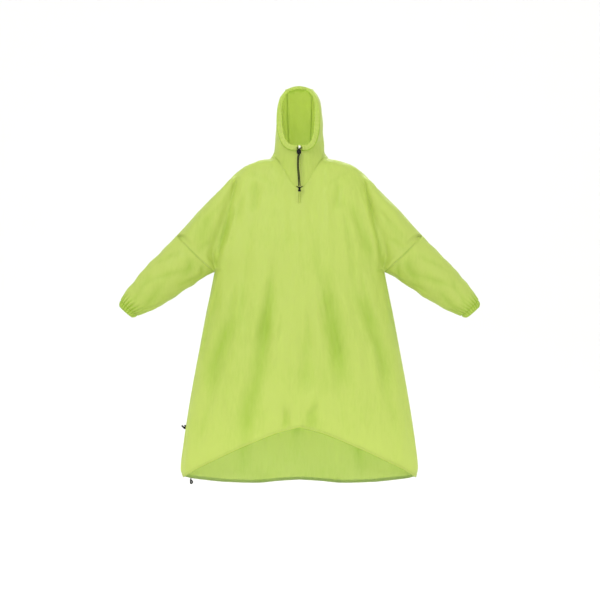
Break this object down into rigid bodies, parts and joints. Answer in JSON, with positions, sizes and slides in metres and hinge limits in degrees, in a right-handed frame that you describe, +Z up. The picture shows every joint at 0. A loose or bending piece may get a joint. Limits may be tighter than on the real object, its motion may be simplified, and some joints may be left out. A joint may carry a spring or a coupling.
{
  "type": "hooded rain poncho, filled out as worn",
  "caption": "Wide hooded rain poncho of thin coated nylon with sleeves, gathered cuffs, half zip, hood drawcord and an arched front hem.",
  "frame": {"origin": "middle of the neck base between the shoulders, where the wearer's shoulders hold the poncho", "axes": "+Z up, -Y out of the front of the garment, +X to the right of a viewer who faces the front"},
  "size_m": [1.4452, 0.436, 1.61],
  "materials": {
    "shell_nylon": "thin coated nylon, soft sheen, slightly see-through",
    "zip_tape": "woven tape",
    "zip_coil": "moulded coil",
    "zip_slider": "satin",
    "black_plastic": "moulded, satin",
    "black_cord": "braided cord",
    "black_tape": "woven tape"
  },
  "bodies": {
    "root": {"front_panel": "shell_nylon", "back_panel": "shell_nylon", "sleeve_left": "shell_nylon", "sleeve_right": "shell_nylon", "cuff_left": "shell_nylon", "cuff_right": "shell_nylon", "hood_side_left": "shell_nylon", "hood_side_right": "shell_nylon", "hood_centre": "shell_nylon", "face_band": "shell_nylon", "zip_tape": "zip_tape", "zip_coil": "zip_coil", "zip_slider": "zip_slider", "cord_lock": "black_plastic", "drawcord_cap": "black_plastic", "drawcord_left": "black_cord", "drawcord_right": "black_cord", "drawcord_knot": "black_cord", "drawcord_tail_left": "black_cord", "drawcord_tail_right": "black_cord", "side_loop": "black_tape", "hem_loop": "black_tape"}
  },
  "joints": []
}
